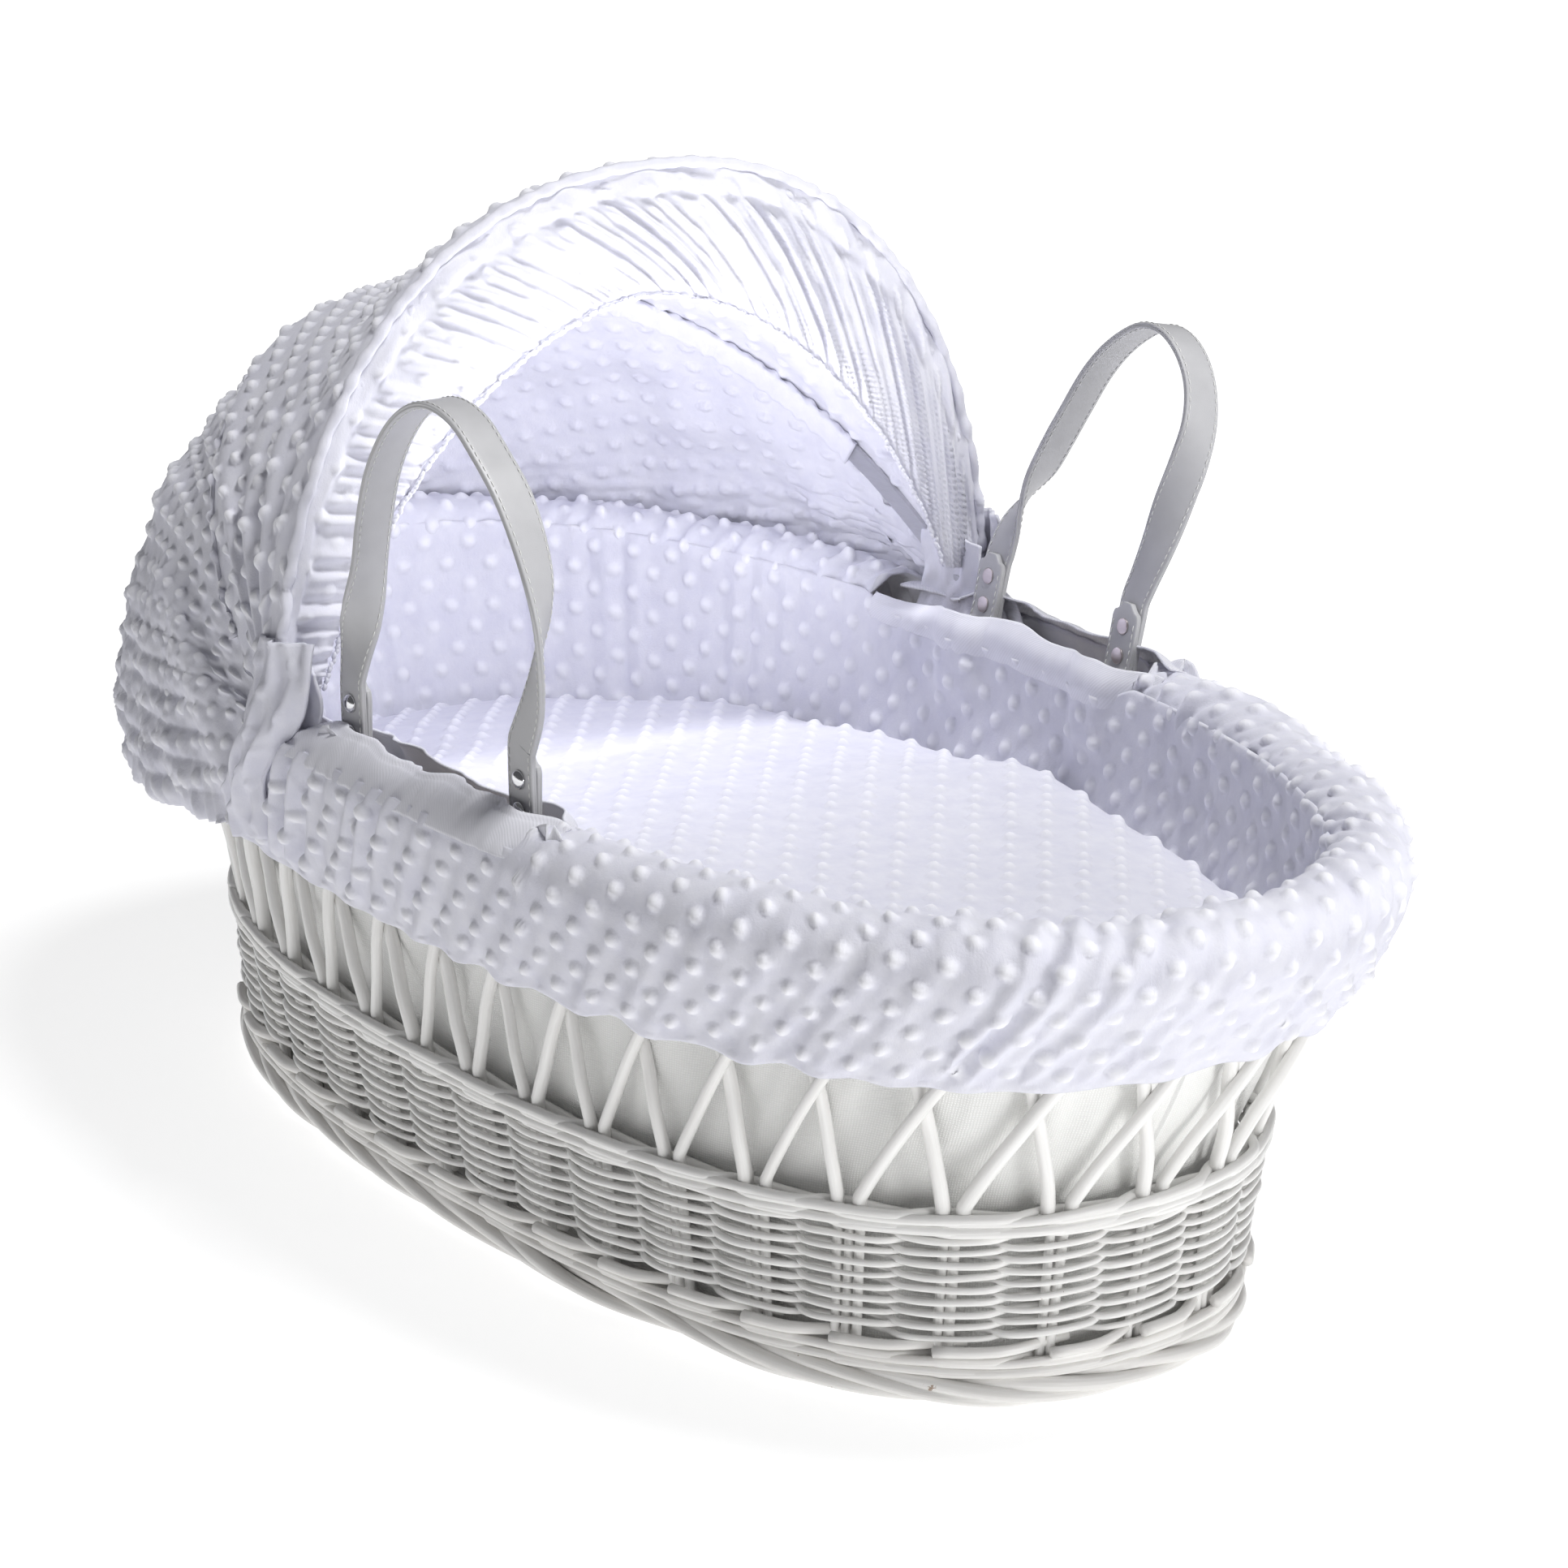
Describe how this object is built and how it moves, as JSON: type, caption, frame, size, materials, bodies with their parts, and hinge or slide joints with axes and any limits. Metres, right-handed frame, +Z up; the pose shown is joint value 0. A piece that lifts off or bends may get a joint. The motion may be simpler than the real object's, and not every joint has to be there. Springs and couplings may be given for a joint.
{
  "type": "moses basket",
  "caption": "Oval wicker baby basket with open lattice sides, plush dressing over the rim, folding fabric hood, mattress, coverlet and two swinging strap handles.",
  "frame": {"origin": "on the flat underside of the woven base, below the middle of the rim", "axes": "+X towards the foot end, -X towards the hood, +Y to the far side, +Z up"},
  "size_m": [0.8465, 0.4536, 0.5005],
  "materials": {
    "wicker": "gloss paint",
    "cotton": "plain weave",
    "plush": "dimple plush",
    "foam": "soft",
    "strap": "satin",
    "steel": "satin",
    "chrome": "polished",
    "elastic": "matte"
  },
  "bodies": {
    "basket": {"base_border": "wicker", "base_plate": "wicker", "binding_inner_far": "cotton", "binding_inner_near": "cotton", "binding_outer_far": "cotton", "binding_outer_near": "cotton", "canopy_elastic": "elastic", "cotton_liner": "cotton", "hood_bracket_far": "steel", "hood_bracket_near": "steel", "lattice": "wicker", "pivot_rivet_far": "chrome", "pivot_rivet_near": "chrome", "plush_lining": "plush", "plush_skirt": "plush", "rim_border": "wicker", "skirt_elastic": "elastic", "tie_far_foot": "cotton", "tie_far_head": "cotton", "tie_near_foot": "cotton", "tie_near_head": "cotton", "top_waling": "wicker", "woven_wall": "wicker"},
    "hood_rear": {"rear_bow": "steel", "canopy_rear": "plush"},
    "hood_front": {"front_bow": "steel", "canopy_front": "plush", "valance": "plush", "valance_elastic": "elastic", "canopy_piping": "plush"},
    "handle_near": {"strap_near": "strap", "strap_rivet_near_foot_1": "chrome", "strap_rivet_near_foot_2": "chrome", "strap_rivet_near_head_1": "chrome", "strap_rivet_near_head_2": "chrome"},
    "handle_far": {"strap_far": "strap", "strap_rivet_far_foot_1": "chrome", "strap_rivet_far_foot_2": "chrome", "strap_rivet_far_head_1": "chrome", "strap_rivet_far_head_2": "chrome"},
    "mattress": {"mattress": "foam"},
    "coverlet": {"coverlet": "plush"}
  },
  "joints": [
    {"name": "hood_rear_fold", "type": "hinge", "parent": "basket", "child": "hood_rear", "pos_m": [-0.07, 0, 0.25], "axis": [0, -1, 0], "range_deg": [0, 25], "deforming": ["canopy_rear"]},
    {"name": "hood_front_fold", "type": "hinge", "parent": "hood_rear", "child": "hood_front", "pos_m": [-0.07, 0, 0.25], "axis": [0, -1, 0], "range_deg": [0, 45], "deforming": ["canopy_front"]},
    {"name": "near_handle_swing", "type": "hinge", "parent": "basket", "child": "handle_near", "pos_m": [0.04275, -0.18498, 0.226], "axis": [0.9997, 0.0237, 0], "range_deg": [-62, 75]},
    {"name": "far_handle_swing", "type": "hinge", "parent": "basket", "child": "handle_far", "pos_m": [0.0225, 0.18612, 0.226], "axis": [-1, 0.0088, 0], "range_deg": [-76, 63]},
    {"name": "mattress_lift", "type": "slide", "parent": "basket", "child": "mattress", "axis": [0, 0, 1], "range_m": [0, 0.02]},
    {"name": "coverlet_lift", "type": "slide", "parent": "mattress", "child": "coverlet", "axis": [0, 0, 1], "range_m": [0, 0.035]}
  ],
  "couplings": [
    {"joint": "hood_front_fold", "follows": "hood_rear_fold", "ratio": 1.8}
  ]
}
